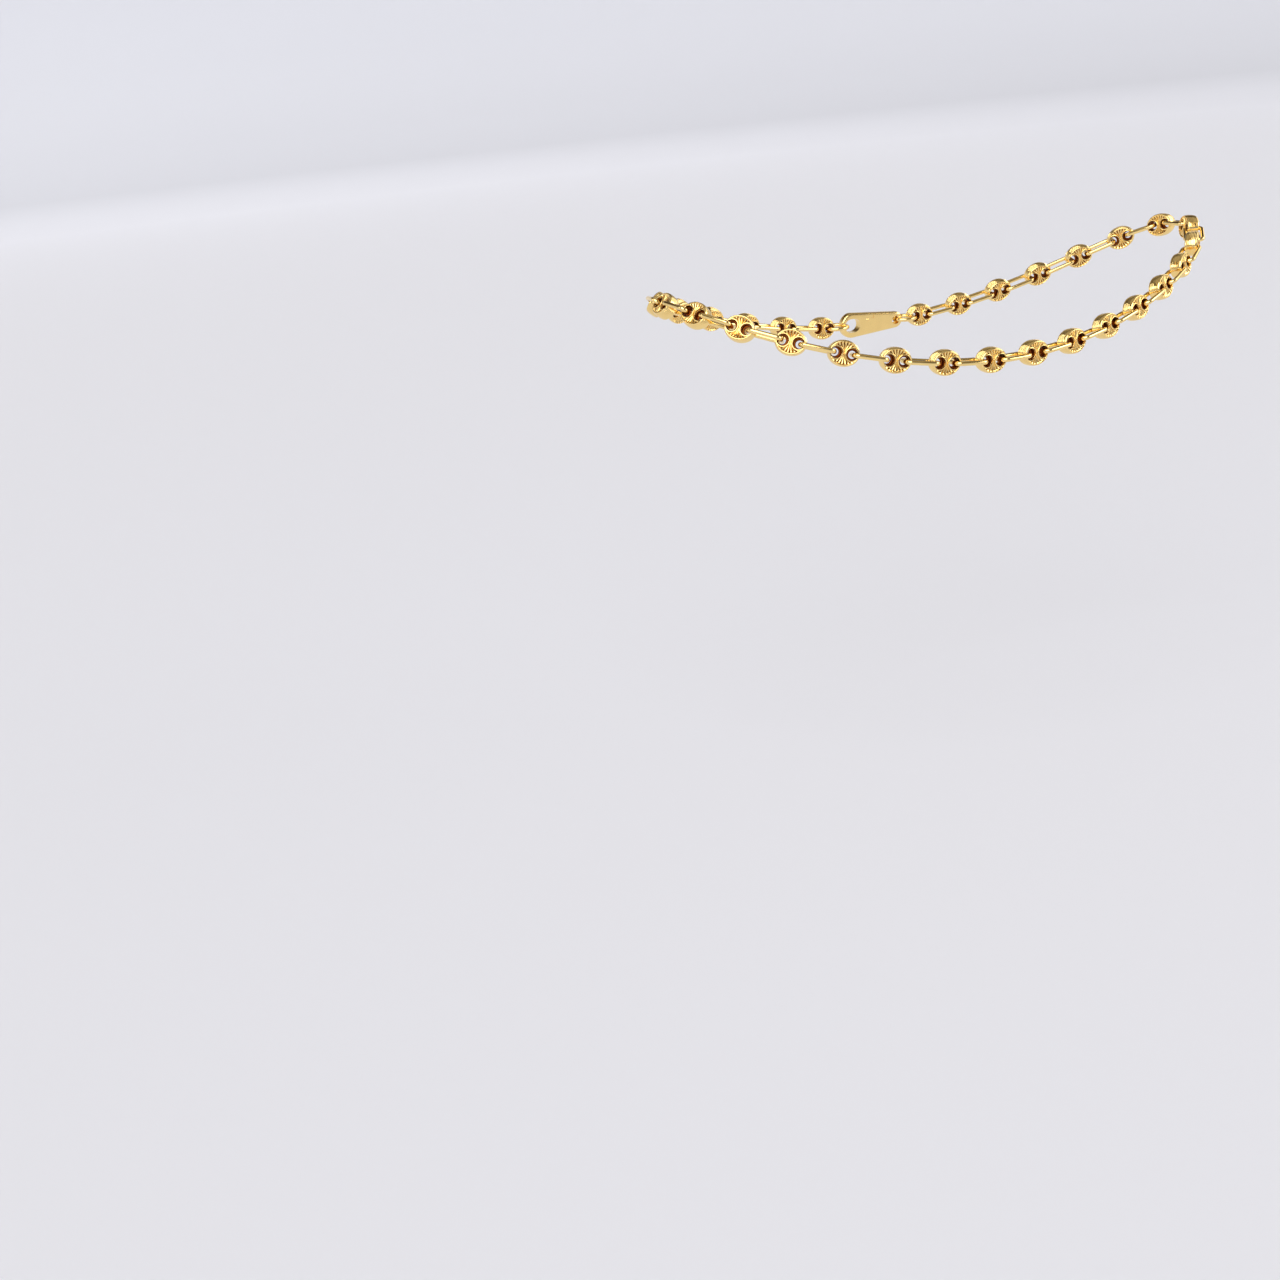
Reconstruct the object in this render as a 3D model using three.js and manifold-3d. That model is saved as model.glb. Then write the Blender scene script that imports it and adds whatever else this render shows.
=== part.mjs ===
// Gold chain anklet: puffed oval links with two round holes, joined by plain long wire links.
// Millimetres. +X runs along the loop's long side, +Y across the loop to the clasp, and +Z up.
// The origin is the middle of the loop.

import * as THREE from 'three';
import { mergeVertices } from 'three/addons/utils/BufferGeometryUtils.js';
import Module from 'manifold-3d';

const wasm = await Module();
wasm.setup();

// Driving dimensions of the chain. The pitch is from one puffed link to the next where the
// chain turns by its usual small angle at each joint.
const puffedCount = 29;
const pitch = 8.3;
const usualTurn = THREE.MathUtils.degToRad(4);
const smallGap = 0.12;

const puffed = {
  length: 5.04,
  height: 4.08,
  thickness: 2.0,
  sides: 16,
  holeSpacing: 2.46,
  holeDiameter: 1.66,
  holeSides: 12,
};

const wire = { diameter: 0.74, sides: 6 };

const connector = {
  innerWidth: 2.16,
  bendRadius: 0.8,
  sides: 12,
};

// The seat is how far a ring's wire passes from the middle of the last puffed link
const jumpRing = { radius: 2.1, sides: 14, seat: 1.15 };

const clasp = {
  length: 13,
  width: 4.6,
  thickness: 1.6,
  rim: 0.7,
  eyeDiameter: 1.6,
  eyeWidth: 3.0,
  mouthLength: 3.2,
  mouthWidth: 2.5,
  edge: 0.25,
};

// Driving dimensions of the loop. Its near side bulges more towards the -X end, by the egg share,
// and both ends of the loop ride higher than its sides.
const loop = {
  halfLength: 51.5,
  nearBulge: 26.5,
  nearEgg: -0.2,
  leastFarBulge: 12,
  mostFarBulge: 32,
  farFlatness: 0.8,
  saddle: 6.25,
};
const frontLink = 7;
const frontLinkAngle = THREE.MathUtils.degToRad(183);
const upright = new THREE.Vector3(0, 0, 1);

// How far the faces lean upwards, as a sum of cosine waves round the loop, in degrees
const leanWaves = [11.8, -13.3, 8.2, -10.3, -2.2];

// Colours of the polished gold
const gold = {
  puffed: { color: 0xe3b457, roughness: 0.18, metalness: 1 },
  connector: { color: 0xe9bd62, roughness: 0.14, metalness: 1 },
  clasp: { color: 0xdfae50, roughness: 0.2, metalness: 1 },
};

// Limits of the searches along the loop
const widestStep = 1.2;
const halvings = 40;
const weldDistance = 1e-5;

// Sizes worked out from the driving dimensions
const wireRadius = wire.diameter / 2;
const holeEdge = (puffed.holeSpacing + puffed.holeDiameter) / 2;
const rimCentre = (holeEdge + puffed.length / 2) / 2;
const rimHalfWidth = rimCentre - holeEdge;
const rimHalfThickness = (0.94 * puffed.thickness) / 2;
const linkSpan = 2 * rimCentre;
const connectorSpan = pitch - linkSpan;
const connectorLength = connectorSpan + 2 * seatAt(usualTurn);
const meanSpan = pitch / 2;
const ringCentre = jumpRing.seat + jumpRing.radius;
const claspStart = ringCentre + jumpRing.radius - wireRadius - 2 * smallGap - clasp.rim;

// Where the chain turns, a connector's end needs more room behind the middle of the link's rim
function seatAt(turn) {
  const rim = rimHalfWidth * Math.cos(turn) + rimHalfThickness * Math.sin(turn);
  return rim + smallGap + wireRadius;
}

// A closed geometry with shared corners and positions only
function weld(geometry) {
  geometry.deleteAttribute('normal');
  geometry.deleteAttribute('uv');
  return mergeVertices(geometry, weldDistance);
}

function solidOf(geometry) {
  const welded = weld(geometry);
  const vertProperties = new Float32Array(welded.attributes.position.array);
  const triVerts = new Uint32Array(welded.index.array);
  return new wasm.Manifold(new wasm.Mesh({ numProp: 3, vertProperties, triVerts }));
}

function geometryOf(solid) {
  const mesh = solid.getMesh();
  const geometry = new THREE.BufferGeometry();
  geometry.setAttribute('position', new THREE.BufferAttribute(mesh.vertProperties, 3));
  geometry.setIndex(new THREE.BufferAttribute(mesh.triVerts, 1));
  geometry.computeVertexNormals();
  return geometry;
}

// A puffed link lies with its length on X, its height on Y and its thickness on Z.
// Each row of the profile is a share of the outline and a share of half the thickness.
function makePuffedLink() {
  const halfProfile = [
    { outline: 1, thickness: 0.52 },
    { outline: 0.965, thickness: 0.86 },
    { outline: 0.89, thickness: 1 },
    { outline: 0.6, thickness: 0.8 },
    { outline: 0, thickness: 0.8 },
  ];
  const upper = halfProfile.map((row) => new THREE.Vector2(row.outline, row.thickness));
  const lower = halfProfile.map((row) => new THREE.Vector2(row.outline, -row.thickness));
  const profile = [...lower.reverse(), ...upper];
  const body = new THREE.LatheGeometry(profile, puffed.sides);
  body.rotateX(Math.PI / 2);
  body.scale(puffed.length / 2, puffed.height / 2, puffed.thickness / 2);
  let solid = solidOf(body);
  for (const side of [-1, 1]) {
    const radius = puffed.holeDiameter / 2;
    const hole = new THREE.CylinderGeometry(radius, radius, 2 * puffed.thickness, puffed.holeSides);
    hole.rotateX(Math.PI / 2);
    hole.translate((side * puffed.holeSpacing) / 2, 0, 0);
    solid = solid.subtract(solidOf(hole));
  }
  return geometryOf(solid);
}

// A round ring of wire pulled apart into a long link with four round corners.
// It lies with its length on X and its width on Y.
function makeConnector() {
  const ring = new THREE.TorusGeometry(connector.bendRadius, wireRadius, wire.sides, connector.sides);
  ring.rotateZ(Math.PI / connector.sides);
  const pullX = connectorLength / 2 - connector.bendRadius;
  const pullY = (connector.innerWidth + wire.diameter) / 2 - connector.bendRadius;
  const position = ring.attributes.position;
  for (let i = 0; i < position.count; i += 1) {
    position.setX(i, position.getX(i) + Math.sign(position.getX(i)) * pullX);
    position.setY(i, position.getY(i) + Math.sign(position.getY(i)) * pullY);
  }
  return geometryOf(solidOf(ring));
}

function makeJumpRing() {
  const ring = new THREE.TorusGeometry(jumpRing.radius, wireRadius, wire.sides, jumpRing.sides);
  return geometryOf(solidOf(ring));
}

// The clasp is a flat hook with a closed mouth at one end and an eye at the other.
function makeClasp() {
  const end = clasp.length / 2;
  const hookRadius = clasp.width / 2;
  const eyeRadius = clasp.eyeWidth / 2;
  const hookCentre = end - hookRadius;
  const eyeCentre = eyeRadius - end;
  const outline = new THREE.Shape();
  outline.absarc(eyeCentre, 0, eyeRadius, Math.PI / 2, (3 * Math.PI) / 2, false);
  outline.absarc(hookCentre, 0, hookRadius, -Math.PI / 2, Math.PI / 2, false);
  outline.closePath();

  const eye = new THREE.Path();
  eye.absarc(eyeCentre, 0, clasp.eyeDiameter / 2, 0, 2 * Math.PI, true);

  const mouth = new THREE.Path();
  const mouthRadius = clasp.mouthWidth / 2;
  const mouthFar = end - clasp.rim - mouthRadius;
  const mouthNear = end - clasp.rim - clasp.mouthLength + mouthRadius;
  mouth.absarc(mouthFar, 0, mouthRadius, Math.PI / 2, -Math.PI / 2, true);
  mouth.absarc(mouthNear, 0, mouthRadius, -Math.PI / 2, (-3 * Math.PI) / 2, true);
  mouth.closePath();
  outline.holes.push(eye, mouth);

  const plate = new THREE.ExtrudeGeometry(outline, {
    depth: clasp.thickness - 2 * clasp.edge,
    bevelThickness: clasp.edge,
    bevelSize: clasp.edge,
    bevelOffset: -clasp.edge,
    bevelSegments: 1,
    curveSegments: 6,
  });
  plate.translate(0, 0, clasp.edge - clasp.thickness / 2);
  return geometryOf(solidOf(plate));
}

// A point of the loop that the chain lies on. The near side is at negative Y.
function loopPoint(angle, farBulge) {
  const side = Math.sin(angle);
  const along = Math.cos(angle);
  const near = loop.nearBulge * side * (1 + loop.nearEgg * along);
  const far = farBulge * Math.abs(side) ** loop.farFlatness;
  return new THREE.Vector3(
    loop.halfLength * along,
    side < 0 ? near : far,
    loop.saddle * Math.cos(2 * angle),
  );
}

// The next angle whose point lies a given distance away, forwards (1) or backwards (-1)
function stepAlong(angle, distance, way, farBulge) {
  const start = loopPoint(angle, farBulge);
  let low = 0;
  let high = widestStep;
  for (let i = 0; i < halvings; i += 1) {
    const middle = (low + high) / 2;
    const reached = start.distanceTo(loopPoint(angle + way * middle, farBulge));
    if (reached < distance) low = middle;
    else high = middle;
  }
  return angle + (way * (low + high)) / 2;
}

// The angle that the chain turns through at one of its joints
function turnAt(angle, farBulge) {
  const here = loopPoint(angle, farBulge);
  const before = loopPoint(stepAlong(angle, meanSpan, -1, farBulge), farBulge);
  const after = loopPoint(stepAlong(angle, meanSpan, 1, farBulge), farBulge);
  return here.clone().sub(before).angleTo(after.sub(here));
}

// The distance that a connector spans from rim to rim
function connectorReach(angle, farBulge) {
  return connectorLength - 2 * seatAt(turnAt(angle, farBulge));
}

// Each link as the two angles where its rims are, in order from the clasp and back to it
function walkChain(farBulge) {
  const half = linkSpan / 2;
  const links = [{
    start: stepAlong(frontLinkAngle, half, -1, farBulge),
    end: stepAlong(frontLinkAngle, half, 1, farBulge),
  }];
  for (let i = frontLink; i < puffedCount; i += 1) {
    const previous = links[links.length - 1].end;
    const start = stepAlong(previous, connectorReach(previous, farBulge), 1, farBulge);
    links.push({ start, end: stepAlong(start, linkSpan, 1, farBulge) });
  }
  for (let i = 1; i < frontLink; i += 1) {
    const previous = links[0].start;
    const end = stepAlong(previous, connectorReach(previous, farBulge), -1, farBulge);
    links.unshift({ start: stepAlong(end, linkSpan, -1, farBulge), end });
  }
  return links;
}

function claspGap(farBulge) {
  const links = walkChain(farBulge);
  const last = loopPoint(links[links.length - 1].end, farBulge);
  return last.distanceTo(loopPoint(links[0].start, farBulge));
}

// The far side bulges just enough for the clasp and its two rings to close the loop
function closeLoop() {
  const wanted = clasp.length + 2 * (claspStart - rimCentre);
  let low = loop.leastFarBulge;
  let high = loop.mostFarBulge;
  for (let i = 0; i < halvings; i += 1) {
    const middle = (low + high) / 2;
    if (claspGap(middle) < wanted) low = middle;
    else high = middle;
  }
  return (low + high) / 2;
}

// The direction out of a link's face, square to the chain and leaning upwards
function faceDirection(along, angle) {
  const out = along.clone().cross(upright).normalize();
  const up = out.clone().cross(along);
  const lean = leanWaves.reduce((sum, wave, order) => sum + wave * Math.cos(order * angle), 0);
  const radians = THREE.MathUtils.degToRad(lean);
  return out.multiplyScalar(Math.cos(radians)).addScaledVector(up, Math.sin(radians));
}

function squareTo(along, direction) {
  return direction.clone().addScaledVector(along, -direction.dot(along)).normalize();
}

function addPiece(name, geometry, finish, place) {
  const mesh = new THREE.Mesh(geometry, new THREE.MeshStandardMaterial(finish));
  mesh.name = name;
  mesh.position.copy(place.position);
  const turn = new THREE.Matrix4().makeBasis(place.x, place.y, place.x.clone().cross(place.y));
  mesh.quaternion.setFromRotationMatrix(turn);
  anklet.add(mesh);
}

const anklet = new THREE.Group();
const farBulge = closeLoop();
const links = walkChain(farBulge);
const two = (number) => String(number).padStart(2, '0');

// Puffed links
const puffedShape = makePuffedLink();
const placed = links.map((link) => {
  const start = loopPoint(link.start, farBulge);
  const end = loopPoint(link.end, farBulge);
  const along = end.clone().sub(start).normalize();
  const face = faceDirection(along, (link.start + link.end) / 2);
  return { start, end, along, face };
});
placed.forEach((link, i) => {
  const position = link.start.clone().lerp(link.end, 0.5);
  const place = { position, x: link.along, y: link.face.clone().cross(link.along) };
  addPiece(`puffed_link_${two(i + 1)}`, puffedShape, gold.puffed, place);
});

// Connectors, each standing square to the faces of its two neighbours
const connectorShape = makeConnector();
for (let i = 0; i + 1 < placed.length; i += 1) {
  const before = placed[i];
  const after = placed[i + 1];
  const along = after.start.clone().sub(before.end).normalize();
  const face = squareTo(along, before.face.clone().add(after.face));
  const position = before.end.clone().lerp(after.start, 0.5);
  addPiece(`connector_${two(i + 1)}`, connectorShape, gold.connector, { position, x: along, y: face });
}

// Clasp on the far side, with a ring through the last link at each end
const last = placed[placed.length - 1];
const first = placed[0];
const claspAlong = first.start.clone().sub(last.end).normalize();
const claspFace = squareTo(claspAlong, last.face.clone().add(first.face));
const claspMiddle = last.end.clone().lerp(first.start, 0.5);
const claspPlace = { position: claspMiddle, x: claspAlong, y: claspFace.clone().cross(claspAlong) };
addPiece('clasp', makeClasp(), gold.clasp, claspPlace);

const ringShape = makeJumpRing();
const ringOffset = clasp.length / 2 + claspStart - ringCentre;
for (const ring of [{ name: 'clasp_ring', way: -1 }, { name: 'catch_ring', way: 1 }]) {
  const position = claspMiddle.clone().addScaledVector(claspAlong, ring.way * ringOffset);
  addPiece(ring.name, ringShape, gold.clasp, { position, x: claspAlong, y: claspFace });
}

export default anklet;
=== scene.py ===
# %% [markdown]
# # A gold chain anklet
# The anklet is one chain of 29 puffed oval links. Each has two round holes, and long plain wire
# links join them hole to hole. A hook clasp with two rings closes the chain on the far side of
# the loop. The solids already stand in the frame, each in its true place and size. This lesson
# models one fine pattern of each kind of link, like a jeweller's master for the mould, and then
# sets a cast of it over every solid.

import math
from collections import Counter

import bpy
import numpy as np
from mathutils import Matrix, Vector


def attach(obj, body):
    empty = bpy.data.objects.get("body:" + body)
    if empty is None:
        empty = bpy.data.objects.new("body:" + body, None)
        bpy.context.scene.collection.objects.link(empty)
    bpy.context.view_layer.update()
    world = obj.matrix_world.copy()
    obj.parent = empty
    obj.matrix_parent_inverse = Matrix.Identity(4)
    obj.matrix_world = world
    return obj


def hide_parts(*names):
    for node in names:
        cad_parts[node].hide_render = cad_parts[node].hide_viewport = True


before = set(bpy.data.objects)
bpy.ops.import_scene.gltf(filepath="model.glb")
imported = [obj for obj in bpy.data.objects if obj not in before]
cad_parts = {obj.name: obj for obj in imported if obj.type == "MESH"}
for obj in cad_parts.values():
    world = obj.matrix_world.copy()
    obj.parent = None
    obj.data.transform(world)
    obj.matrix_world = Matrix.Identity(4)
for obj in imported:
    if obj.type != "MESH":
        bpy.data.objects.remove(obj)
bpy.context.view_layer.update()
print("pieces in the frame:", len(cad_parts))

# %% [markdown]
# ## The bench
# A link is 5 mm long and its deepest groove is a quarter of a millimetre. Blender's tools are at
# their best with sizes near one unit, so the patterns are made on a bench where one unit is one
# millimetre, at the origin. Only the casts are shrunk to metres.
# An operator acts on everything that is selected, so each step first puts everything down and
# then picks up the one piece, face or corner that it needs.

# %% Helpers that pick up and put down
bench_unit = 0.001


def put_down_everything():
    if bpy.context.object and bpy.context.object.mode != "OBJECT":
        bpy.ops.object.mode_set(mode="OBJECT")
    bpy.ops.object.select_all(action="DESELECT")


def pick_up(piece):
    put_down_everything()
    piece.select_set(True)
    bpy.context.view_layer.objects.active = piece


def pick_faces(piece, wanted):
    """Selects the faces whose centre and normal pass the test, and stays in edit mode."""
    pick_up(piece)
    bpy.ops.object.mode_set(mode="EDIT")
    bpy.ops.mesh.select_mode(type="FACE")
    bpy.ops.mesh.select_all(action="DESELECT")
    bpy.ops.object.mode_set(mode="OBJECT")
    for face in piece.data.polygons:
        face.select = wanted(face.center, face.normal)
    bpy.ops.object.mode_set(mode="EDIT")


def pick_corners(piece, wanted):
    """Selects the corners whose place passes the test, and stays in edit mode."""
    pick_up(piece)
    bpy.ops.object.mode_set(mode="EDIT")
    bpy.ops.mesh.select_mode(type="VERT")
    bpy.ops.mesh.select_all(action="DESELECT")
    bpy.ops.object.mode_set(mode="OBJECT")
    for corner in piece.data.vertices:
        corner.select = wanted(corner.co)
    bpy.ops.object.mode_set(mode="EDIT")


def every_face(centre, normal):
    return True


def every_corner(place):
    return True


# %% [markdown]
# A stamped piece has two like halves. One half is raised from a flat outline on the middle plane,
# row by row, its flat floor is opened, and a mirror makes the other half. A Boolean modifier
# melts on or cuts out the rest. Its exact solver sometimes leaves a plug in a hole of the grooved
# link and sometimes doesn't, with the same input. Its manifold solver gives the same closed skin
# every time, so that one does all the cutting here.

# %% Helpers that raise, mirror and cut
floor_under = 0.001
level_over = 0.9
mirror_seam = 0.002


def raise_rows(rows, share=1.0, height=0.0):
    """Extrudes the picked cap from row to row. A row is a share of the outline and a height."""
    for next_share, next_height in rows:
        bpy.ops.mesh.extrude_region_move(
            TRANSFORM_OT_translate={"value": (0, 0, next_height - height)})
        grow = next_share / share
        bpy.ops.transform.resize(value=(grow, grow, 1), center_override=(0, 0, next_height))
        share, height = next_share, next_height


def open_floor(piece):
    """Deletes the flat face on the middle plane."""
    pick_faces(piece, lambda centre, normal: centre.z < floor_under and abs(normal.z) > level_over)
    bpy.ops.mesh.delete(type="FACE")


def mirror_half(piece):
    """Makes the lower half from the upper one and joins them along the seam."""
    pick_up(piece)
    mirror = piece.modifiers.new("both halves", "MIRROR")
    mirror.use_axis = (False, False, True)
    mirror.merge_threshold = mirror_seam
    bpy.ops.object.modifier_apply(modifier=mirror.name)


def carve(piece, tool, operation):
    """Cuts the tool out of the piece, or melts it on, and clears the tool away."""
    pick_up(piece)
    cut = piece.modifiers.new("carve", "BOOLEAN")
    cut.operation = operation
    cut.solver = "MANIFOLD"
    cut.object = tool
    bpy.ops.object.modifier_apply(modifier=cut.name)
    bpy.data.objects.remove(tool, do_unlink=True)


def melt_together(parts):
    """Joins several tools to one."""
    put_down_everything()
    for part in parts:
        part.select_set(True)
    bpy.context.view_layer.objects.active = parts[0]
    bpy.ops.object.join()
    return parts[0]


def tidy_skin(piece, nearer_than=0.001, smooth_under=30):
    """Merges doubles, turns all faces outwards and smooths the shading of the shallow edges.

    The skin is closed when every edge has two faces. The angle is in degrees."""
    pick_up(piece)
    bpy.ops.object.mode_set(mode="EDIT")
    bpy.ops.mesh.select_all(action="SELECT")
    bpy.ops.mesh.remove_doubles(threshold=nearer_than)
    bpy.ops.mesh.normals_make_consistent(inside=False)
    bpy.ops.object.mode_set(mode="OBJECT")
    bpy.ops.object.shade_smooth_by_angle(angle=math.radians(smooth_under))
    piece.data.calc_loop_triangles()
    faces_at = Counter(edge for face in piece.data.polygons for edge in face.edge_keys)
    open_edges = sum(faces != 2 for faces in faces_at.values())
    print(piece.name, "has", len(piece.data.loop_triangles), "triangles and", open_edges,
          "edges without two faces")


# %% [markdown]
# ## The puffed link
# On the real chain this link is two thin oval shells, each dished and stamped, soldered face to
# face. The edge band is turned smooth with fine steps that run round it, and a cutter has then
# struck narrow grooves from the rim in towards the middle.
# It could be carved from a sphere, but the grooves need an even count of columns round the oval.
# So it starts as a flat disc with four columns for every groove, and the cap is extruded row by
# row: up the edge band, over the crest and down into the dish.

# %% Sizes of the puffed link, in millimetres
link_length = 5.04
link_height = 4.08
groove_count = 24
columns_per_groove = 4
columns = columns_per_groove * groove_count

foot_share = 0.984
# A row is a share of the oval and a height above the middle plane.
edge_band = [
    (1.000, 0.040), (1.000, 0.180), (0.984, 0.215), (0.984, 0.255), (0.996, 0.290),
    (0.992, 0.420), (0.975, 0.455), (0.975, 0.495), (0.985, 0.530), (0.975, 0.680),
    (0.958, 0.710), (0.957, 0.745), (0.962, 0.775), (0.950, 0.860), (0.928, 0.940),
    (0.905, 0.985), (0.880, 1.000), (0.858, 0.990), (0.842, 0.965),
]
dish = [(0.770, 0.925), (0.680, 0.885), (0.570, 0.850), (0.450, 0.820), (0.330, 0.800),
        (0.210, 0.790), (0.110, 0.785)]
# How deep a groove is in each row of the face, and how far the two columns beside it sink with it.
groove_depth = {0.842: 0.06, 0.770: 0.25, 0.680: 0.24, 0.570: 0.18, 0.450: 0.14, 0.330: 0.10,
                0.210: 0.05}
neighbour_share = 0.18

# %% Raise the oval from a disc
put_down_everything()
bpy.ops.mesh.primitive_circle_add(vertices=columns, radius=link_length / 2, fill_type="NGON")
puffed_link = bpy.context.object
puffed_link.name = "puffed_link_pattern"
pick_faces(puffed_link, every_face)
bpy.ops.transform.resize(value=(foot_share, foot_share * link_height / link_length, 1))
raise_rows(edge_band + dish, share=foot_share)
bpy.ops.mesh.merge(type="CENTER")
open_floor(puffed_link)
put_down_everything()
print("columns round the link:", columns)

# %% [markdown]
# The grooves are pressed into the dish: in every row of the face, each fourth column sinks and
# its neighbours stay nearly level. That leaves flat bright lands with a dark V between them,
# deep near the rim and faint towards the middle.

# %% Strike the grooves
groove_column = 2
beside_the_groove = (1, 3)
face_over = 0.5
same_row = 0.004


def column_of(place):
    """The number of the column within its groove, from 0 on the land between two grooves."""
    angle = math.atan2(place.y / link_height, place.x / link_length)
    return round(angle / (2 * math.pi / columns)) % columns_per_groove


def share_of(place):
    """How far out a place is, from 0 in the middle to 1 on the oval."""
    return math.hypot(2 * place.x / link_length, 2 * place.y / link_height)


def in_row(place, share):
    return place.z > face_over and abs(share_of(place) - share) < same_row


for row_share, depth in groove_depth.items():
    pick_corners(puffed_link, lambda p: in_row(p, row_share) and column_of(p) == groove_column)
    bpy.ops.transform.translate(value=(0, 0, -depth))
    pick_corners(puffed_link,
                 lambda p: in_row(p, row_share) and column_of(p) in beside_the_groove)
    bpy.ops.transform.translate(value=(0, 0, -neighbour_share * depth))
mirror_half(puffed_link)
tidy_skin(puffed_link)

# %% [markdown]
# Each hole has a thin raised lip. The two lips nearly meet in the middle of the face and make its
# cross-shaped waist. A lip is a fine ring melted on to the dish. Then a tool with a flared mouth
# opens each hole right through.

# %% Melt on the lips
hole_spacing = 2.46
hole_radius = 0.83
lip_radius = 1.01
lip_thickness = 0.12
lip_height = 0.86
round_steps = 72


def fine_ring(place, radius, thickness):
    put_down_everything()
    bpy.ops.mesh.primitive_torus_add(location=place, major_segments=round_steps,
                                     minor_segments=12, major_radius=radius,
                                     minor_radius=thickness)
    return bpy.context.object


lips = [fine_ring((side * hole_spacing / 2, 0, face * lip_height), lip_radius, lip_thickness)
        for side in (-1, 1) for face in (-1, 1)]
carve(puffed_link, melt_together(lips), "UNION")
print("faces with the lips:", len(puffed_link.data.polygons))

# %% Open the holes
# A row is a share of the hole's radius and a height. The last one is well above the link.
flared_mouth = [(1.00, 0.64), (1.05, 0.78), (1.14, 0.90), (1.20, 1.30)]
for side in (-1, 1):
    put_down_everything()
    bpy.ops.mesh.primitive_circle_add(vertices=round_steps, radius=hole_radius,
                                      fill_type="NGON")
    tool = bpy.context.object
    tool.name = "hole_tool"
    pick_faces(tool, every_face)
    raise_rows(flared_mouth)
    open_floor(tool)
    mirror_half(tool)
    tidy_skin(tool)
    tool.location.x = side * hole_spacing / 2
    carve(puffed_link, tool, "DIFFERENCE")
    print("faces after this hole:", len(puffed_link.data.polygons))

# %% [markdown]
# Half way through a hole the turned-in edges of the two shells meet in a thick ridge. It lies a
# little outwards, because the connector's wire bears on the outer side of the hole.

# %% The ridge inside each hole
ridge_radius = 0.83
ridge_thickness = 0.22
ridge_shift = 0.16
for side in (-1, 1):
    ridge = fine_ring((side * (hole_spacing / 2 + ridge_shift), 0, 0), ridge_radius,
                      ridge_thickness)
    carve(puffed_link, ridge, "UNION")
tidy_skin(puffed_link, nearer_than=0.003, smooth_under=32)

# %% [markdown]
# Polish reaches the crest and the lips, and hardly the bottom of the grooves and the inside of
# the holes, so there the gold is rougher. There its colour is also darkened to red-brown: partly
# the dull gold itself, partly painted shade and painted reflection of gold in gold. This depth is
# measured once at each corner of the pattern and kept on the mesh as a point attribute, from 0
# on the polished skin to 1 deep in a hole. The finish reads it later.

# %% Measure how deep each corner lies
def keep_dull_and_shade(piece, depth_at):
    values = [depth_at(corner.co) for corner in piece.data.vertices]
    dull_and_shade = piece.data.attributes.new("dull_and_shade", "FLOAT", "POINT")
    dull_and_shade.data.foreach_set("value", values)
    print(piece.name, "mean recess", round(sum(values) / len(values), 3))


face_shares, face_heights = zip(*reversed(edge_band[-3:] + dish))
face_reach = 0.85
mouth_reach = 1.15 * hole_radius
mouth_level = 0.88
# The mask makes the gold rougher and paints shade: in a hole from near its mouth down, in a groove
# below its land.
hole_dull_and_shade_from, hole_dull_and_shade_within = 0.90, 0.30
groove_dull_and_shade_from, groove_dull_and_shade_within, groove_most_dull_and_shaded = 0.05, 0.08, 0.95
fade_shares, fade = (0.45, 0.68), (0.25, 1.0)


def link_dull_and_shade(place):
    """A hole is dull and painted in shade from its mouth down, and a groove below the land,
    less towards the middle.
    """
    height, share = abs(place.z), share_of(place)
    from_hole = math.hypot(abs(place.x) - hole_spacing / 2, place.y)
    if from_hole < mouth_reach and height < mouth_level:
        return min(1.0, max(0.0, (hole_dull_and_shade_from - height) / hole_dull_and_shade_within))
    if share < face_reach:
        below_land = np.interp(share, face_shares, face_heights) - height
        groove = (below_land - groove_dull_and_shade_from) / groove_dull_and_shade_within
        return min(groove_most_dull_and_shaded, max(0.0, groove)) * np.interp(share, fade_shares, fade)
    return 0.0


def polished_and_unshaded(place):
    return 0.0


keep_dull_and_shade(puffed_link, link_dull_and_shade)

# %% [markdown]
# ## The connector
# Between two puffed links runs one length of round wire, bent to a long link with four round
# corners and soldered shut. As at the bench, it is drawn from a round section: the section is
# extruded along each straight and spun round each corner, until it meets its own start.

# %% Draw and bend the wire
wire_radius = 0.37
bend_radius = 0.80
connector_length = 5.29
connector_width = 2.90


def bent_wire(name, straight_x, straight_y, bend, section_sides, bend_steps):
    """A closed link of wire round a rectangle with rounded corners, in the XY plane."""
    put_down_everything()
    half_x, half_y = straight_x / 2, straight_y / 2
    bpy.ops.mesh.primitive_circle_add(
        vertices=section_sides, radius=wire_radius, fill_type="NOTHING",
        location=(-half_x, -half_y - bend, 0), rotation=(0, math.pi / 2, 0))
    wire = bpy.context.object
    wire.name = name
    bpy.ops.object.transform_apply(location=True, rotation=True, scale=True)
    pick_corners(wire, every_corner)
    turns = [((1, 0), (half_x, -half_y)), ((0, 1), (half_x, half_y)),
             ((-1, 0), (-half_x, half_y)), ((0, -1), (-half_x, -half_y))]
    for (step_x, step_y), (centre_x, centre_y) in turns:
        run = (straight_x * step_x, straight_y * step_y, 0)
        bpy.ops.mesh.extrude_region_move(TRANSFORM_OT_translate={"value": run})
        bpy.ops.mesh.spin(steps=bend_steps, angle=-math.pi / 2, center=(centre_x, centre_y, 0),
                          axis=(0, 0, 1))
    bpy.ops.object.mode_set(mode="OBJECT")
    tidy_skin(wire, nearer_than=0.004, smooth_under=50)
    return wire


connector = bent_wire("connector_pattern", connector_length - 2 * bend_radius,
                      connector_width - 2 * bend_radius, bend_radius, section_sides=20,
                      bend_steps=10)
keep_dull_and_shade(connector, polished_and_unshaded)

# %% [markdown]
# ## The clasp and its rings
# The clasp lies on the far side of the loop, where the picture doesn't show it, so it is the
# plain hook clasp that such a chain usually has. It is a flat cast body with an eye at one end,
# and at the other a mouth whose lever springs shut. It starts as a disc. One half is drawn out
# small for the eye and the other wide for the hook, the plate is raised, its rim is rounded, and
# then the eye, the mouth and the fine joints of the lever are cut.

# %% Draw out the plate of the clasp
eye_place, eye_outer, eye_radius = -5.0, 1.5, 0.80
hook_place, hook_outer = 4.2, 2.3
half_plate = 0.80
rim_rounding = 0.42
outline_sides = 64
not_yet_drawn_out = 1.1

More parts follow.
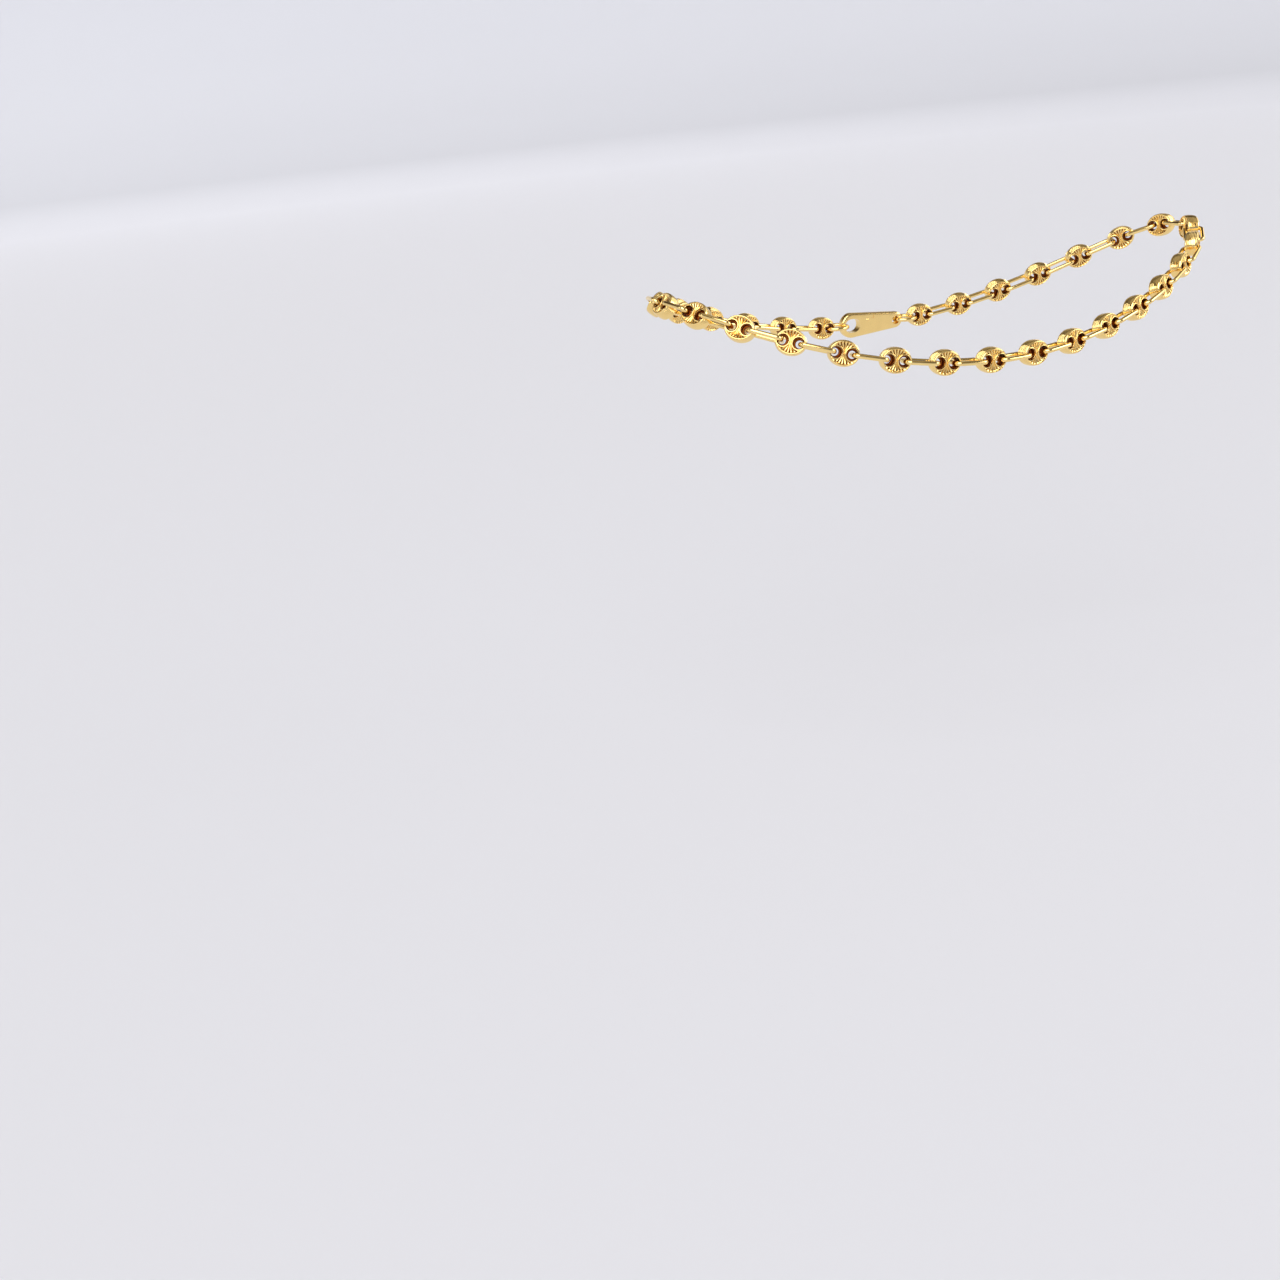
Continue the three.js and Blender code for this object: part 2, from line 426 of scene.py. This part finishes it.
put_down_everything()
bpy.ops.mesh.primitive_circle_add(vertices=outline_sides, radius=1, fill_type="NGON",
                                  rotation=(0, 0, math.pi / outline_sides))
clasp = bpy.context.object
clasp.name = "clasp_pattern"
bpy.ops.object.transform_apply(location=True, rotation=True, scale=True)
for half, outer, place in ((-1, eye_outer, eye_place), (1, hook_outer, hook_place)):
    pick_corners(clasp, lambda p: p.x * half > 0 and abs(p.x) < not_yet_drawn_out)
    bpy.ops.transform.resize(value=(outer, outer, 1), center_override=(0, 0, 0))
    bpy.ops.transform.translate(value=(place, 0, 0))
pick_faces(clasp, every_face)
bpy.ops.mesh.extrude_region_move(TRANSFORM_OT_translate={"value": (0, 0, half_plate)})
bpy.ops.mesh.bevel(offset=rim_rounding, offset_type="OFFSET", segments=5, affect="EDGES")
open_floor(clasp)
mirror_half(clasp)
tidy_skin(clasp, smooth_under=35)

# %% Tools for the clasp
slot_sides = 48


def slot_tool(start, end, radius, height):
    """A tool for a slot with round ends, along X."""
    put_down_everything()
    bpy.ops.mesh.primitive_circle_add(vertices=slot_sides, radius=radius, fill_type="NGON",
                                      rotation=(0, 0, math.pi / slot_sides))
    tool = bpy.context.object
    tool.name = "slot_tool"
    bpy.ops.object.transform_apply(location=True, rotation=True, scale=True)
    for half, place in ((-1, start), (1, end)):
        pick_corners(tool, lambda p: p.x * half > 0 and abs(p.x) < radius)
        bpy.ops.transform.translate(value=(place, 0, 0))
    pick_faces(tool, every_face)
    bpy.ops.transform.translate(value=(0, 0, -height / 2))
    bpy.ops.mesh.extrude_region_move(TRANSFORM_OT_translate={"value": (0, 0, height)})
    tidy_skin(tool)
    return tool


def saw_tool(place, size, turn=0.0):
    """A thin blade for a joint line."""
    put_down_everything()
    bpy.ops.mesh.primitive_cube_add(size=1, location=place, rotation=(0, 0, turn))
    blade = bpy.context.object
    blade.scale = size
    bpy.ops.object.transform_apply(location=True, rotation=True, scale=True)
    return blade


# %% Cut the eye, the mouth and the joints of the lever
right_through = 4
eye_stretch = 0.001
mouth_start, mouth_end, mouth_radius = 3.85, 4.55, 1.25
joint, joint_depth = 0.07, 0.24
rivet_radius, rivet_sunk = 0.36, 0.22

carve(clasp, slot_tool(eye_place - eye_stretch, eye_place + eye_stretch, eye_radius,
                       right_through), "DIFFERENCE")
carve(clasp, slot_tool(mouth_start, mouth_end, mouth_radius, right_through), "DIFFERENCE")
carve(clasp, saw_tool((5.75, 1.75, 0), (joint, 1.6, 3), math.radians(-38)), "DIFFERENCE")
for face in (-1, 1):
    lever_side = saw_tool((1.35, 1.30, face * half_plate), (3.2, joint, joint_depth),
                          math.radians(12))
    carve(clasp, lever_side, "DIFFERENCE")
    lever_end = saw_tool((-0.22, 1.45, face * half_plate), (joint, 0.95, joint_depth))
    carve(clasp, lever_end, "DIFFERENCE")
    put_down_everything()
    rivet_place = (1.05, 0.72, face * (half_plate - rivet_sunk))
    bpy.ops.mesh.primitive_uv_sphere_add(segments=32, ring_count=16, radius=rivet_radius,
                                         location=rivet_place)
    carve(clasp, bpy.context.object, "UNION")
tidy_skin(clasp, nearer_than=0.002, smooth_under=35)
keep_dull_and_shade(clasp, polished_and_unshaded)

# %% Wind the jump ring and saw it open
jump_radius = 2.10
saw_slit = 0.035
jump_ring = fine_ring((0, 0, 0), jump_radius, wire_radius)
jump_ring.name = "jump_ring_pattern"
carve(jump_ring, saw_tool((0, jump_radius, 0), (saw_slit, 1.2, 1.2)), "DIFFERENCE")
tidy_skin(jump_ring, smooth_under=50)
keep_dull_and_shade(jump_ring, polished_and_unshaded)

# %% [markdown]
# ## Setting the casts
# A solid keeps its place in its corners, so its axes are read from them. Four corners of every
# puffed link and connector lie farthest from its middle: two at one end and two at the other.
# The short step inside such a pair is one axis, and the way from the middle to the pair is the
# long axis. The clasp and the rings have no such corners. Their axes are the directions in which
# their corners spread most and least.

# %% Read where a solid lies
def corners_of(node):
    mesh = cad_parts[node].data
    places = np.empty(3 * len(mesh.vertices))
    mesh.vertices.foreach_get("co", places)
    return np.unique(np.round(places.reshape(-1, 3), 8), axis=0)


def frame_of(node):
    """The middle of a solid, its long axis and its cross axis, from its farthest corners."""
    corners = corners_of(node)
    middle = corners.mean(axis=0)
    far = corners[np.argsort(-np.linalg.norm(corners - middle, axis=1))[:4]]
    partner = 1 + np.argmin(np.linalg.norm(far[1:] - far[0], axis=1))
    long_axis = (far[0] + far[partner]) / 2 - middle
    cross_axis = far[0] - far[partner]
    return Vector(middle), Vector(long_axis).normalized(), Vector(cross_axis).normalized()


def spread_of(node):
    """The middle of a solid's extent and its axes, from the widest spread to the least."""
    corners = corners_of(node)
    axes = np.linalg.svd(corners - corners.mean(axis=0), full_matrices=False)[2]
    along = corners @ axes.T
    middle = (along.min(axis=0) + along.max(axis=0)) / 2 @ axes
    return Vector(middle), [Vector(axis) for axis in axes]


def place_matrix(middle, x_axis, y_axis):
    """Turns a pattern from the bench along two axes, shrinks it and sets it on the middle."""
    z_axis = x_axis.cross(y_axis).normalized()
    turn = Matrix((x_axis, y_axis, z_axis)).transposed().to_4x4()
    return Matrix.Translation(middle) @ turn @ Matrix.Scale(bench_unit, 4)


def cast(pattern, node, matrix, finish):
    """Copies the pattern with a mesh of its own and sets it over the solid."""
    piece = pattern.copy()
    piece.data = pattern.data.copy()
    piece.name = node + "_gold"
    bpy.context.scene.collection.objects.link(piece)
    piece.data.transform(matrix)
    piece.data.materials.clear()
    piece.data.materials.append(finish)
    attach(piece, "root")
    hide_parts(node)
    return piece


# %% [markdown]
# ## The gold
# Polished yellow gold is all reflection. Its colour sits in the reflection itself, so the shader
# is fully metallic, and what makes it look worn and real is small: fine polishing hairlines, a
# roughness that drifts like breath on a mirror, and rougher gold where no polish reaches, whose
# colour is darkened to red-brown, partly dull gold and partly painted shade. Three finishes use
# the same wear and painted shade, so it is one node group with named inputs and outputs.

# %% The group for worn polish and painted shade
roughness_in_a_recess = 0.30
hairline_direction = (1.0, 1.0, 0.12)


def worn_polish_and_shade_group():
    group = bpy.data.node_groups.new("worn_polish_and_shade", "ShaderNodeTree")
    face = group.interface
    inputs = [
        ("Place", "NodeSocketVector", None),
        ("Dull And Shade", "NodeSocketFloat", 0.0),
        ("Gold", "NodeSocketColor", (1.0, 0.72, 0.30, 1)),
        ("Dull Shaded Gold", "NodeSocketColor", (0.40, 0.14, 0.04, 1)),
        ("Roughness", "NodeSocketFloat", 0.12),
        ("Roughness Drift", "NodeSocketFloat", 0.08),
        ("Hairline Size", "NodeSocketFloat", 5000.0),
        ("Cloud Size", "NodeSocketFloat", 500.0),
    ]
    for name, kind, value in inputs:
        entry = face.new_socket(name=name, in_out="INPUT", socket_type=kind)
        if value is not None:
            entry.default_value = value
    for name, kind in [("Colour", "NodeSocketColor"), ("Roughness", "NodeSocketFloat"),
                       ("Height", "NodeSocketFloat")]:
        face.new_socket(name=name, in_out="OUTPUT", socket_type=kind)

    nodes, links = group.nodes, group.links
    given = nodes.new("NodeGroupInput")
    result = nodes.new("NodeGroupOutput")

    cloud = nodes.new("ShaderNodeTexNoise")
    cloud.inputs["Detail"].default_value = 3.0
    links.new(given.outputs["Place"], cloud.inputs["Vector"])
    links.new(given.outputs["Cloud Size"], cloud.inputs["Scale"])

    stretch = nodes.new("ShaderNodeVectorMath")
    stretch.operation = "MULTIPLY"
    stretch.inputs[1].default_value = hairline_direction
    links.new(given.outputs["Place"], stretch.inputs[0])
    hairline = nodes.new("ShaderNodeTexNoise")
    hairline.inputs["Detail"].default_value = 2.0
    links.new(stretch.outputs["Vector"], hairline.inputs["Vector"])
    links.new(given.outputs["Hairline Size"], hairline.inputs["Scale"])

    drift = nodes.new("ShaderNodeMath")
    drift.operation = "MULTIPLY"
    links.new(cloud.outputs["Fac"], drift.inputs[0])
    links.new(given.outputs["Roughness Drift"], drift.inputs[1])
    rough = nodes.new("ShaderNodeMath")
    rough.operation = "ADD"
    links.new(given.outputs["Roughness"], rough.inputs[0])
    links.new(drift.outputs["Value"], rough.inputs[1])
    dull = nodes.new("ShaderNodeMath")
    dull.operation = "MULTIPLY_ADD"
    dull.inputs[1].default_value = roughness_in_a_recess
    links.new(given.outputs["Dull And Shade"], dull.inputs[0])
    links.new(rough.outputs["Value"], dull.inputs[2])
    links.new(dull.outputs["Value"], result.inputs["Roughness"])

    # Painted shade: the colour turns from the gold to the dull red-brown wherever the mask is
    # high, in the grooves and holes.
    painted_shade_mix = nodes.new("ShaderNodeMix")
    painted_shade_mix.data_type = "RGBA"
    links.new(given.outputs["Dull And Shade"], painted_shade_mix.inputs["Factor"])
    links.new(given.outputs["Gold"], painted_shade_mix.inputs["A"])
    links.new(given.outputs["Dull Shaded Gold"], painted_shade_mix.inputs["B"])
    cloudy = nodes.new("ShaderNodeMapRange")
    cloudy.inputs["To Min"].default_value = 0.90
    cloudy.inputs["To Max"].default_value = 1.06
    links.new(cloud.outputs["Fac"], cloudy.inputs["Value"])
    shade = nodes.new("ShaderNodeVectorMath")
    shade.operation = "SCALE"
    links.new(painted_shade_mix.outputs["Result"], shade.inputs[0])
    links.new(cloudy.outputs["Result"], shade.inputs["Scale"])
    links.new(shade.outputs["Vector"], result.inputs["Colour"])
    links.new(hairline.outputs["Fac"], result.inputs["Height"])
    return group


worn_polish_and_shade = worn_polish_and_shade_group()
print("worn polish:", len(worn_polish_and_shade.nodes), "nodes")

# %% Gold finishes from the same wear and painted shade
def gold_finish(name, gold, dull_shaded_gold, roughness, hairline_depth):
    finish = bpy.data.materials.new(name)
    finish.use_nodes = True
    nodes, links = finish.node_tree.nodes, finish.node_tree.links
    shader = nodes["Principled BSDF"]
    shader.inputs["Metallic"].default_value = 1.0
    place = nodes.new("ShaderNodeTexCoord")
    dull_and_shade = nodes.new("ShaderNodeAttribute")
    dull_and_shade.attribute_name = "dull_and_shade"
    wear_and_shade = nodes.new("ShaderNodeGroup")
    wear_and_shade.node_tree = worn_polish_and_shade
    wear_and_shade.inputs["Gold"].default_value = gold
    wear_and_shade.inputs["Dull Shaded Gold"].default_value = dull_shaded_gold
    wear_and_shade.inputs["Roughness"].default_value = roughness
    bump = nodes.new("ShaderNodeBump")
    bump.inputs["Strength"].default_value = 0.25
    bump.inputs["Distance"].default_value = hairline_depth
    links.new(place.outputs["Object"], wear_and_shade.inputs["Place"])
    links.new(dull_and_shade.outputs["Fac"], wear_and_shade.inputs["Dull And Shade"])
    links.new(wear_and_shade.outputs["Colour"], shader.inputs["Base Color"])
    links.new(wear_and_shade.outputs["Roughness"], shader.inputs["Roughness"])
    links.new(wear_and_shade.outputs["Height"], bump.inputs["Height"])
    links.new(bump.outputs["Normal"], shader.inputs["Normal"])
    return finish


# The second colour of each finish is the red-brown that the grooves and holes are painted: painted
# shade and painted reflection of gold in gold, partly also dull gold. Only the puffed link's mask
# reaches it.
puffed_gold = gold_finish("puffed_gold", gold=(1.0, 0.73, 0.29, 1),
                          dull_shaded_gold=(0.26, 0.070, 0.012, 1), roughness=0.08,
                          hairline_depth=0.00001)
connector_gold = gold_finish("connector_gold", gold=(1.0, 0.74, 0.30, 1),
                             dull_shaded_gold=(0.40, 0.14, 0.05, 1), roughness=0.06,
                             hairline_depth=0.000006)
clasp_gold = gold_finish("clasp_gold", gold=(1.0, 0.72, 0.28, 1),
                         dull_shaded_gold=(0.38, 0.13, 0.05, 1), roughness=0.12,
                         hairline_depth=0.00001)
print("gold finishes:", [finish.name for finish in (puffed_gold, connector_gold, clasp_gold)])

# %% Set the puffed links and the connectors
for node in sorted(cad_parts):
    if node.startswith("puffed_link"):
        middle, along, face = frame_of(node)
        if face.dot(Vector((middle.x, middle.y, 0))) < 0:
            face.negate()
        if face.cross(along).z < 0:
            along.negate()
        cast(puffed_link, node, place_matrix(middle, along, face.cross(along)),
             puffed_gold)
    elif node.startswith("connector"):
        middle, along, across = frame_of(node)
        cast(connector, node, place_matrix(middle, along, across),
             connector_gold)

# %% Set the clasp and its rings
ring_middle = {}
for node in ("clasp_ring", "catch_ring"):
    middle, axes = spread_of(node)
    ring_middle[node] = middle
    cast(jump_ring, node, place_matrix(middle, axes[0], axes[2].cross(axes[0])),
         clasp_gold)
middle, axes = spread_of("clasp")
along = (ring_middle["catch_ring"] - ring_middle["clasp_ring"]).normalized()
if axes[0].dot(along) < 0:
    axes[0].negate()
cast(clasp, "clasp", place_matrix(middle, axes[0], axes[1]), clasp_gold)
for pattern in (puffed_link, connector, jump_ring, clasp):
    bpy.data.objects.remove(pattern, do_unlink=True)

# %% [markdown]
# ## The room
# Polished gold shows the room. Pale walls make it cream, a dark band high on the walls draws the
# brown lines beside the highlights, and four round windows give the sparkle. A fifth light, which
# the gold doesn't show, lifts the floor. The floor is a pale sweep well below the chain, so the
# shadow is wide and faint and no horizon cuts the picture.

# %% The pale sweep
floor_height = -0.085
floor_radius = 2.4
# A row is a share of the floor's radius and a rise above the floor, in metres.
sweep_rows = [(1.08, 0.03), (1.16, 0.12), (1.22, 0.27), (1.26, 0.50), (1.27, 0.80)]
put_down_everything()
bpy.ops.mesh.primitive_circle_add(vertices=96, radius=floor_radius, fill_type="NGON",
                                  location=(0, 0, floor_height))
sweep = bpy.context.object
sweep.name = "pale_sweep"
bpy.ops.object.transform_apply(location=True, rotation=True, scale=True)
pick_faces(sweep, every_face)
raise_rows([(share, floor_height + rise) for share, rise in sweep_rows], height=floor_height)
bpy.ops.mesh.delete(type="FACE")
pick_faces(sweep, every_face)
bpy.ops.mesh.normals_make_consistent(inside=True)
put_down_everything()
sweep.select_set(True)
bpy.ops.object.shade_smooth()
print("the sweep reaches", round(max(corner.co.z for corner in sweep.data.vertices), 3), "m up")

# %% [markdown]
# The upright part of the sweep faces the windows, so it would shine brighter than the floor and
# show as a band. Its paint turns greyer with height, and the two look alike.

# %% The paint of the sweep
floor_paint = (0.73, 0.74, 0.80, 1)
upright_paint = (0.57, 0.58, 0.63, 1)
greyest_at = 0.05
pale = bpy.data.materials.new("pale_sweep")
pale.use_nodes = True
pale_nodes, pale_links = pale.node_tree.nodes, pale.node_tree.links
pale_shader = pale_nodes["Principled BSDF"]
pale_shader.inputs["Roughness"].default_value = 0.6
spot = pale_nodes.new("ShaderNodeTexCoord")
spot_parts = pale_nodes.new("ShaderNodeSeparateXYZ")
rise = pale_nodes.new("ShaderNodeMapRange")
rise.inputs["From Min"].default_value = floor_height
rise.inputs["From Max"].default_value = floor_height + greyest_at
paint = pale_nodes.new("ShaderNodeMix")
paint.data_type = "RGBA"
paint.inputs["A"].default_value = floor_paint
paint.inputs["B"].default_value = upright_paint
pale_links.new(spot.outputs["Object"], spot_parts.inputs["Vector"])
pale_links.new(spot_parts.outputs["Z"], rise.inputs["Value"])
pale_links.new(rise.outputs["Result"], paint.inputs["Factor"])
pale_links.new(paint.outputs["Result"], pale_shader.inputs["Base Color"])
sweep.data.materials.append(pale)

# %% The walls that the gold shows
# A stop is the upward part of a direction, from 0 at eye level to 1 overhead, and a tone.
room = [(0.00, (0.60, 0.61, 0.64)), (0.20, (0.53, 0.53, 0.55)), (0.34, (0.42, 0.40, 0.38)),
        (0.48, (0.20, 0.17, 0.14)), (0.58, (0.03, 0.02, 0.02)), (0.68, (0.03, 0.02, 0.02)),
        (0.80, (0.40, 0.37, 0.32)), (1.00, (0.40, 0.37, 0.32))]
world = bpy.data.worlds.new("soft room")
bpy.context.scene.world = world
world.use_nodes = True
world_nodes, world_links = world.node_tree.nodes, world.node_tree.links
direction = world_nodes.new("ShaderNodeTexCoord")
parts = world_nodes.new("ShaderNodeSeparateXYZ")
ramp = world_nodes.new("ShaderNodeValToRGB")
world_links.new(direction.outputs["Generated"], parts.inputs["Vector"])
world_links.new(parts.outputs["Z"], ramp.inputs["Fac"])
world_links.new(ramp.outputs["Color"], world_nodes["Background"].inputs["Color"])
while len(ramp.color_ramp.elements) < len(room):
    ramp.color_ramp.elements.new(0.5)
for stop, (height, tone) in zip(ramp.color_ramp.elements, room):
    stop.position = height
    stop.color = (*tone, 1)
world_nodes["Background"].inputs["Strength"].default_value = 1.0
print("stops on the walls:", len(ramp.color_ramp.elements))

# %% The windows
def window(name, towards, glow, breadth, seen_in_gold=True):
    """A round light, very far away. Its glow is how bright it looks in the gold, and its
    breadth is in degrees."""
    lamp = bpy.data.lights.new(name, "SUN")
    lamp.angle = math.radians(breadth)
    lamp.energy = glow * math.pi * math.sin(lamp.angle / 2) ** 2
    holder = bpy.data.objects.new(name, lamp)
    bpy.context.scene.collection.objects.link(holder)
    holder.rotation_euler = Vector(towards).to_track_quat("Z", "Y").to_euler()
    holder.visible_glossy = seen_in_gold


window("front window", (-0.50, -0.62, 0.72), 3.4, 54)
window("right window", (0.85, -0.50, 0.35), 3.8, 34)
window("right wall", (0.97, -0.05, 0.15), 1.3, 72)
window("left window", (-0.95, 0.20, 0.35), 2.5, 26)
window("sweep light", (0.0, 0.0, 1.0), 0.16, 110, seen_in_gold=False)
bpy.context.scene.view_settings.view_transform = "Standard"
print("lights:", len(bpy.data.lights))

# %% [markdown]
# ## The camera
# The camera stands to the left and in front, a little above the chain, and is slightly rolled.
# Its place, axes and angle of view were worked out from where the holes of the sixteen links in
# view fall in the picture.

# %% Camera
photo_width = 1280
focal_in_pixels = 1330
camera_place = (-0.1275, -0.20729, 0.03804)
camera_data = bpy.data.cameras.new("photo_camera")
camera_data.sensor_width = 36
camera_data.lens = camera_data.sensor_width * focal_in_pixels / photo_width
camera_data.clip_start = 0.005
camera = bpy.data.objects.new("photo_camera", camera_data)
bpy.context.scene.collection.objects.link(camera)
right = Vector((0.9344, -0.3417, -0.1007)).normalized()
back = Vector((-0.2819, -0.8821, 0.3774)).normalized()
up = back.cross(right).normalized()
right = up.cross(back)
camera.matrix_world = (Matrix.Translation(camera_place)
                       @ Matrix((right, up, back)).transposed().to_4x4())
bpy.context.scene.camera = camera
print("lens:", round(camera_data.lens, 2), "mm")
